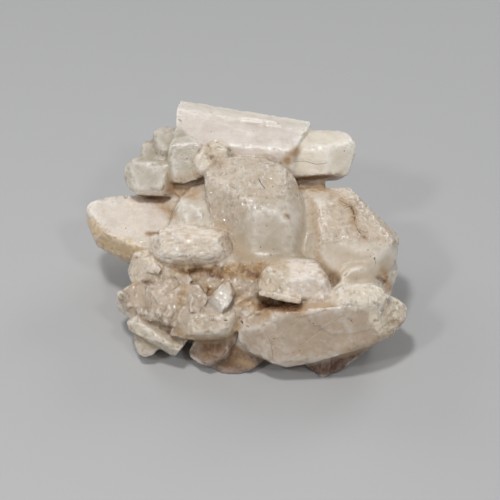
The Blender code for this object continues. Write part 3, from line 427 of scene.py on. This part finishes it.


# Quartz cluster: iron stain, painted shade and cracks
# Water left ochre in the clefts, on some faces and along the seams, and darker rust in a few clefts. Where
# other crystals shelter a place the ochre and rust grow as well, and there they are painted shade. Thin
# cracks and specks mark some crystals. Each is a line on the same pane, with a width and a strength.

OCHRE = [
    ([(23.8, 16), (24.5, 8), (25.5, 0), (25.5, -8.6)], 1.7, 0.5),
    ([(25, 16.5), (31, 15.5)], 2.4, 0.35),
    ([(34, 13.6), (37.4, 12), (38.8, 9), (38.6, 6)], 1.6, 0.7),
    ([(39.3, 5), (40.4, 2.6), (42.4, 0)], 1.4, 0.5),
    ([(49.5, -12), (51.5, -18)], 1.8, 0.8),
    ([(27, -9.5), (30.5, -15)], 1.8, 0.6),
    ([(18, 31.5), (14.6, 28)], 2.0, 0.8),
    ([(20, 18.7), (29, 18.2)], 2.2, 1.0),
    ([(19.4, 21), (26.6, 21.8), (35, 19.8)], 1.4, 0.5),
    ([(-9, 3), (-4, -3), (1, -7)], 3.0, 0.4),
    ([(2, -9.5), (14, -9)], 2.0, 0.4),
    ([(-2, -11), (4, -13.5)], 2.4, 0.9),
    ([(-31, 13.5), (-26.5, 8)], 2.6, 0.7),
    ([(-36, 1.6), (-31.5, 1.8)], 0.9, 0.7),
    ([(-55, 3), (-48, -3), (-42, -7)], 3.4, 0.3),
    ([(-28, 21.5), (-18, 22.5)], 1.6, 0.4),
    ([(-27, 18), (-18, 16)], 3.0, 0.8),
    ([(-29.5, 26), (-28.3, 21)], 0.7, 0.5),
    ([(-14.5, 32), (-9, 27)], 2.4, 0.4),
    ([(-25, -10.6), (-17, -10.9), (-9, -12)], 2.2, 0.8),
    ([(-22, -18), (-24.2, -23.6)], 1.3, 1.0),
    ([(-14.6, -17.6), (-12, -20)], 1.3, 0.8),
    ([(-46, -17.8), (-42, -16.8), (-38.5, -16.4)], 0.6, 0.7),
    ([(-2, -22.5), (5, -24.5), (7, -26.5)], 2.6, 0.9),
    ([(5.8, -23.4), (19.4, -25.2)], 3.0, 1.0),
    ([(5.8, -24.6), (19.4, -23.8), (29, -24)], 1.4, 0.5),
    ([(-25.5, -33.5), (-22, -35.6), (-14, -36.8), (-6, -35.8), (-3.4, -32)], 1.4, 0.7),
    ([(35.6, -41), (44, -38), (52.2, -35)], 2.2, 0.5),
    ([(51, -29.5), (56, -31)], 1.6, 0.6),
    ([(-2, -44.5), (5, -46.5)], 1.2, 0.8),
    ([(-14.8, -11.9), (-6, -15.5), (-4, -18.7)], 2.0, 0.5),
    ([(6, -21), (12, -22.5)], 1.2, 0.4),
]
RUST = [
    ([(6, -24.4), (18, -25.4)], 1.7, 1.0),
    ([(-24, -11.8), (-16, -12.4), (-9, -12.6)], 0.9, 0.45),
    ([(-13.6, -13.2), (-8.8, -14)], 0.9, 0.9),
    ([(1, -12.6), (4.4, -14)], 0.9, 0.8),
    ([(47.5, -14.2), (50, -15.6)], 0.8, 0.9),
    ([(-37, -15.6), (-33.6, -16)], 0.7, 0.8),
    ([(37.8, 11.6), (38.8, 8.6)], 0.5, 0.7),
    ([(42.4, 0.2), (42.8, -0.2)], 0.6, 0.7),
    ([(30.2, -15.4), (31, -16)], 0.7, 0.8),
    ([(21, 22.6), (28, 21)], 0.7, 0.5),
    ([(-12.4, -28.6), (-11.8, -29.6)], 0.9, 0.7),
    ([(-14, -18), (-13, -18.6)], 0.6, 0.7),
    ([(-35.4, 1.8), (-31.6, 1.8)], 0.4, 0.7),
]
CRACKS = [
    ([(34, 13.6), (36, 12.3), (37.4, 11.4), (38.5, 10.2)], 0.1, 0.8),
    ([(38.5, 10.2), (38.9, 8), (39.1, 6.4)], 0.12, 0.9),
    ([(39.2, 5.2), (39.8, 3.9)], 0.08, 0.5),
    ([(40, 3.2), (41.4, 1.4)], 0.14, 0.9),
    ([(35.2, 10.6), (37.4, 11.4)], 0.08, 0.5),
    ([(17.6, 27.4), (21, 27.8), (25, 26.6), (29, 27)], 0.09, 0.55),
    ([(4.7, 21), (6.6, 18.2)], 0.16, 0.9),
    ([(-5, 18.4), (-3, 17.2)], 0.1, 0.7),
    ([(14, -33.1), (20, -28.6), (29, -26)], 0.1, 0.22),
    ([(19.4, -38.5), (26, -33.5), (31, -30.6), (36, -27.5)], 0.1, 0.25),
    ([(7, -33.8), (9, -38), (9.7, -43.2)], 0.12, 0.3),
    ([(43, -28), (46, -34)], 0.1, 0.2),
    ([(-46.4, -18.4), (-43.6, -19), (-41.8, -21)], 0.12, 0.5),
    ([(8.9, -5.7), (9.2, -5.9)], 0.3, 0.9),
    ([(45.7, -5.6), (45.9, -5.9)], 0.22, 0.9),
    ([(46.1, -7.4), (46.3, -7.8)], 0.3, 1.0),
    ([(46.6, -9), (46.7, -9.2)], 0.2, 0.8),
    ([(44.8, -6.8), (44.9, -7)], 0.16, 0.7),
    ([(-24, 42.6), (-23.6, 42.4)], 0.26, 0.6),
    ([(-1.5, -30.2), (-1.2, -30.6)], 0.35, 0.9),
    ([(0.4, -31.6), (0.7, -31.8)], 0.25, 0.7),
    ([(-7.6, -29.5), (-7.0, -29.6)], 0.25, 0.9),
    ([(37.4, -29.6), (38.2, -30.2)], 0.14, 0.6),
    ([(-8.6, -44), (-3.6, -38), (-3.4, -36)], 0.12, 0.5),
]
SHELTER_REACH = 14.0 * MM
SHELTER_RINGS = ((0.35, 4), (0.75, 8))
FAR = 9.0


def marks(lines, across, up):
    """The strength of the lines at places on the pane, fading out at their width."""
    strength = np.zeros(len(across))
    for line, width, most in lines:
        gap = np.min([gap_to(start, end, across, up)[0] for start, end in zip(line, line[1:])], axis=0)
        strength = np.maximum(strength, most * np.clip(1.35 - gap / width, 0.0, 1.0))
    return strength


def crack_lines(lines, across, up):
    """How far each place is from the nearest crack, in widths and with a side, and the crack's strength."""
    aside = np.full(len(across), FAR)
    strength = np.zeros(len(across))
    for line, width, most in lines:
        for start, end in zip(line, line[1:]):
            gap, side = gap_to(start, end, across, up)
            nearer = gap / width < np.abs(aside)
            length = math.hypot(end[0] - start[0], end[1] - start[1])
            middle = (start[0] + end[0]) / 2, (start[1] + end[1]) / 2
            beyond = np.hypot(across - middle[0], up - middle[1]) - length / 2
            fading = np.clip(1.6 - beyond / max(width, 0.4), 0.0, 1.0)
            aside = np.where(nearer, side * gap / width, aside)
            strength = np.where(nearer, most * fading, strength)
    return aside, strength


def sheltered(at, normal, reach):
    """The share of a place's outlook that other crystals block within that reach."""
    helper = np.where(np.abs(normal[:, 2:3]) < 0.9, [[0.0, 0.0, 1.0]], [[1.0, 0.0, 0.0]])
    side = np.cross(normal, helper)
    side /= np.linalg.norm(side, axis=1)[:, None]
    other = np.cross(normal, side)
    just_off = at + normal * 0.5 * MM
    blocked = np.zeros(len(at))
    rays = [
        (ring, math.tau * (turn + ring) / count) for ring, count in SHELTER_RINGS for turn in range(count)
    ]
    for ring, angle in rays:
        around = side * ring * math.cos(angle) + other * ring * math.sin(angle)
        ways = around + normal * math.sqrt(1 - ring * ring)
        for number in range(len(at)):
            if crystal_faces.ray_cast(just_off[number], ways[number], reach)[0] is not None:
                blocked[number] += 1.0
    return blocked / len(rays)


shelter = evened(sheltered(at, normal, SHELTER_REACH), links, times=3)
crease = -bulge(at, links, normal, times=3)
hollow = np.clip(-bulge(at, links, normal, times=6) / 0.3, 0.0, 1.0)
cloud = soft_noise(at, size=7.0, detail=3, seed=41.0)
fine = soft_noise(at, size=1.6, detail=3, seed=47.0)
across, up, out = on_pane(at)
seen = showing(out)
tint_and_shade, finish = finishes(at)
# Painted shade and ochre stain in one: places that other crystals shelter, and hollows, turn ochre.
stain_and_shade = np.clip((shelter - 0.5) * 1.3 + hollow * 0.15 + cloud * 0.1, 0.0, 0.7)
ochre = marks(OCHRE, across + cloud * 0.8, up + fine * 0.6) * seen * (1.0 + fine * 0.35)
stain_and_shade = np.maximum(stain_and_shade, ochre)
# Painted shade and rust in one: the deepest sheltered clefts turn dark rust brown.
rust_and_shade = np.clip((shelter - 0.66) * 2.2 + cloud * 0.3 + fine * 0.25, 0.0, 0.9)
rust_and_shade = np.maximum(rust_and_shade, marks(RUST, across + fine * 0.4, up + cloud * 0.4) * seen)
crack, cracked = crack_lines(CRACKS, across + fine * 0.25, up + cloud * 0.3)


def keep(name, values):
    """Stores values on the skin's corners, where the material reads them."""
    if values.ndim == 2:
        layer = skin.attributes.new(name, "FLOAT_COLOR", "POINT")
        layer.data.foreach_set("color", np.hstack([values, np.ones((len(values), 1))]).ravel())
    else:
        layer = skin.attributes.new(name, "FLOAT", "POINT")
        layer.data.foreach_set("value", values)


keep("tint_and_shade", tint_and_shade)
keep("edge", np.clip(bulge(at, links, normal, times=8) / 0.25, 0.0, 1.0))
roughness = finish["lumpy"] + finish["broken"] * 0.7 + finish["grainy"] * 0.08 - 0.1
keep("rough_face", np.clip(roughness, 0.0, 1.0))
keep("gloss", finish["gloss"])
keep("stain_and_shade", np.clip(stain_and_shade, 0.0, 1.0))
keep("rust_and_shade", np.clip(rust_and_shade, 0.0, 1.0))
keep("seam", np.clip((crease - 0.1) / 0.12, 0.0, 1.0))
keep("crack", crack)
keep("cracked", cracked * seen)


# Quartz cluster: milky quartz
# White quartz clouded by tiny bubbles and veils, a little light passing into it. It is glassy where it is
# freshly etched and duller where it is grainy or stained. Its edges carry a painted highlight, and its
# rough faces painted glints as white specks in the colour.


class Socket:
    """A shader value that adds its own Math nodes when it is reckoned with."""

    def __init__(self, tree, out):
        self.tree, self.out = tree, out

    def math(self, operation, first, second):
        return self.tree.add("ShaderNodeMath", {"operation": operation}, {0: first, 1: second})[0]

    def __add__(self, other):
        return self.math("ADD", self, other)

    def __sub__(self, other):
        return self.math("SUBTRACT", self, other)

    def __rsub__(self, other):
        return self.math("SUBTRACT", other, self)

    def __mul__(self, other):
        return self.math("MULTIPLY", self, other)

    def __abs__(self):
        return self.tree.add("ShaderNodeMath", {"operation": "ABSOLUTE"}, {0: self})[0]

    __radd__, __rmul__ = __add__, __mul__

    def clamped(self):
        return self.tree.add("ShaderNodeClamp", {}, {0: self})[0]


class Tree:
    """The node tree of one material."""

    def __init__(self, material):
        material.use_nodes = True
        self.nodes, self.links = material.node_tree.nodes, material.node_tree.links

    def put(self, socket, value):
        if isinstance(value, Socket):
            self.links.new(value.out, socket)
        else:
            socket.default_value = value

    def add(self, kind, settings, inputs):
        """Adds a node, its settings first and then what its sockets hold, and gives its outputs."""
        node = self.nodes.new(kind)
        for name, value in settings.items():
            setattr(node, name, value)
        for key, value in inputs.items():
            self.put(node.inputs[key], value)
        return [Socket(self, out) for out in node.outputs]

    def mix(self, share, first, second, blend="MIX"):
        """Two colours mixed."""
        settings = {"data_type": "RGBA", "blend_type": blend}
        return self.add("ShaderNodeMix", settings, {0: share, 6: first, 7: second})[2]

    def noise(self, where, size, detail):
        """Noise with lumps of that size in millimetres."""
        values = {"Vector": where, "Scale": 1.0 / (size * MM), "Detail": detail, "Roughness": 0.55}
        return self.add("ShaderNodeTexNoise", {}, values)[0]

    def cells(self, where, size):
        """The nearest of many spots, size millimetres apart: how far it is, its colour and its place."""
        values = {"Vector": where, "Scale": 1.0 / (size * MM)}
        return self.add("ShaderNodeTexVoronoi", {}, values)[:3]

    def vector(self, operation, first, second):
        return self.add("ShaderNodeVectorMath", {"operation": operation}, {0: first, 1: second})

    def red(self, colour):
        return self.add("ShaderNodeSeparateColor", {}, {0: colour})[0]


def rgba(colour):
    return (*linear(colour), 1.0)


def above(value, start, gain):
    """0 where the value is under the start, and rising to 1 with that gain over it."""
    return ((value - start) * gain).clamped()


VEIL, CLOUD, SPECK = (196, 186, 174), (246, 238, 228), (212, 200, 184)
EDGE_HIGHLIGHT, PAINTED_GLINT, FRECKLE = (252, 247, 240), (255, 252, 248), (120, 84, 56)
OCHRE_STAIN_AND_SHADE, RUST_AND_SHADE = (182, 150, 112), (100, 56, 28)
SEAM_DIRT_AND_SHADE, OPEN_CRACK = (132, 98, 66), (58, 32, 18)

quartz = bpy.data.materials.new("milky_quartz")
tree = Tree(quartz)
shader = tree.nodes["Principled BSDF"]
object_place = 3
where = tree.add("ShaderNodeTexCoord", {}, {})[object_place]
drawn_out = tree.vector("MULTIPLY", where, (1.0, 0.45, 0.45))[0]
tint_and_shade = tree.add("ShaderNodeAttribute", {"attribute_name": "tint_and_shade"}, {})[0]
stain_and_shade, rust_and_shade, seam, crack, cracked, gloss, rough_face, edge = (
    tree.add("ShaderNodeAttribute", {"attribute_name": name}, {})[2]
    for name in ("stain_and_shade", "rust_and_shade", "seam", "crack", "cracked", "gloss", "rough_face", "edge")
)
veils = tree.noise(where, 7.5, 3.0)
clouds = tree.noise(where, 2.0, 3.0)
specks = tree.noise(where, 0.5, 2.0)
clusters = above(tree.noise(where, 3.0, 1.0), 0.47, 7.0)

colour = tree.mix(above(veils, 0.42, 2.2) * 0.5, tint_and_shade, rgba(VEIL), "MULTIPLY")
colour = tree.mix(above(clouds, 0.48, 2.0) * 0.35, colour, rgba(CLOUD))
colour = tree.mix(above(specks, 0.5, 3.0) * 0.2, colour, rgba(SPECK), "MULTIPLY")
# Painted highlight: convex edges lightened towards near white, more on paler crystals and less on rough
# faces.
colour = tree.mix(edge * tree.red(tint_and_shade) * (0.75 - rough_face * 0.5), colour, rgba(EDGE_HIGHLIGHT))

# Painted glints: small white specks, in clusters, on the rough faces.
painted_glints = above(tree.red(tree.cells(drawn_out, 0.75)[1]), 0.86, 12.0)
painted_glints = painted_glints * (clusters * 0.9 + 0.1) * (rough_face * 1.4).clamped()
colour = tree.mix(painted_glints * 0.75, colour, rgba(PAINTED_GLINT))
from_spot, spot_colour, _ = tree.cells(where, 2.2)
freckle = ((0.16 - from_spot) * 14.0).clamped() * above(tree.red(spot_colour), 0.86, 12.0)
colour = tree.mix(freckle * 0.7, colour, rgba(FRECKLE))

# Ochre stain, with painted shade where the crystals shelter each other.
colour = tree.mix((stain_and_shade * (clouds * 1.2 + 0.4)).clamped(), colour, rgba(OCHRE_STAIN_AND_SHADE))
# Dark brown in fine creases: dirt along the seams between crystals, and painted shade in the small pits.
colour = tree.mix(seam * 0.3, colour, rgba(SEAM_DIRT_AND_SHADE))
# Rust, with painted shade darkest in the deepest clefts.
colour = tree.mix((rust_and_shade * (specks * 1.8 - 0.1)).clamped(), colour, rgba(RUST_AND_SHADE))
dark = (1.4 - abs(crack)).clamped() * cracked
colour = tree.mix(dark, colour, rgba(OPEN_CRACK))
tree.put(shader.inputs["Base Color"], colour)
tree.put(shader.inputs["Roughness"], 0.34 - gloss * 0.3 + specks * 0.08 + stain_and_shade * 0.1)


def glints(where, size):
    """Flat glints that far apart in millimetres, each tilted its own way: their height in millimetres."""
    _, spot_colour, spot = tree.cells(where, size)
    offset = tree.vector("SUBTRACT", where, spot)[0]
    tilt = tree.vector("SUBTRACT", spot_colour, (0.5, 0.5, 0.5))[0]
    return tree.vector("DOT_PRODUCT", offset, tilt)[1] * (1.0 / MM)


height = clouds * 0.1 + specks * (rough_face * 0.12 + 0.04)
glinting = (glints(where, 1.2) + glints(drawn_out, 0.65)) * rough_face * (clusters * 1.5 + 0.3)
height = height + glinting - dark * 0.15
bump = tree.add("ShaderNodeBump", {}, {"Strength": 1.0, "Distance": 1.0 * MM, "Height": height})[0]
tree.put(shader.inputs["Normal"], bump)
shader.inputs["Metallic"].default_value = 0.0
shader.inputs["IOR"].default_value = 1.54
shader.inputs["Subsurface Weight"].default_value = 0.4
shader.inputs["Subsurface Radius"].default_value = (1.0, 0.8, 0.6)
shader.inputs["Subsurface Scale"].default_value = 1.0 * MM

skin.materials.clear()
skin.materials.append(quartz)
skin.shade_smooth()
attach(cluster, "root")
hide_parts("quartz_cluster")


# Studio
# A pale floor, soft light from above, the front and the back, and the camera in front of the cluster and
# above it, at the eye from which its crystals were noted.

floor = bpy.data.objects.new("floor", bpy.data.meshes.new("floor"))
sheet = bmesh.new()
bmesh.ops.create_grid(sheet, x_segments=1, y_segments=1, size=1.5)
sheet.to_mesh(floor.data)
sheet.free()
bpy.context.scene.collection.objects.link(floor)
paper = bpy.data.materials.new("pale_floor")
paper.use_nodes = True
coating = paper.node_tree.nodes["Principled BSDF"]
coating.inputs["Base Color"].default_value = (0.5, 0.5, 0.5, 1.0)
coating.inputs["Roughness"].default_value = 0.8
floor.data.materials.append(paper)

world = bpy.data.worlds.new("studio")
bpy.context.scene.world = world
world.use_nodes = True
daylight = world.node_tree.nodes["Background"]
daylight.inputs["Color"].default_value = (0.95, 0.97, 1.0, 1.0)
daylight.inputs["Strength"].default_value = 0.22
bpy.context.scene.view_settings.view_transform = "Standard"


def lamp(name, place, size, power):
    """A soft square lamp that shines on the cluster."""
    light = bpy.data.objects.new(name, bpy.data.lights.new(name, "AREA"))
    light.data.size, light.data.energy = size, power
    light.location = place
    light.rotation_mode = "QUATERNION"
    light.rotation_quaternion = (PANE_MIDDLE - Vector(place)).to_track_quat("-Z", "Y")
    bpy.context.scene.collection.objects.link(light)


lamp("overhead", place=(-0.1, -0.2, 0.68), size=0.08, power=1.9)
lamp("front_left", place=(-0.4, -0.45, 0.6), size=0.08, power=1.1)
lamp("front_right", place=(0.25, -0.5, 0.6), size=0.08, power=0.75)
lamp("back_right", place=(0.4, 0.45, 0.45), size=0.3, power=1.0)
lamp("back_left", place=(-0.45, 0.4, 0.45), size=0.3, power=0.8)

towards_eye = Vector((0.0, -RUN, RISE))
camera = bpy.data.objects.new("camera", bpy.data.cameras.new("camera"))
camera.data.sensor_width = 36.0
camera.data.lens = 90.0
camera.data.shift_x, camera.data.shift_y = 0.008, -0.024
camera.location = PANE_MIDDLE + towards_eye * EYE_DISTANCE * MM
camera.rotation_mode = "QUATERNION"
camera.rotation_quaternion = (-towards_eye).to_track_quat("-Z", "Y")
bpy.context.scene.collection.objects.link(camera)
bpy.context.scene.camera = camera
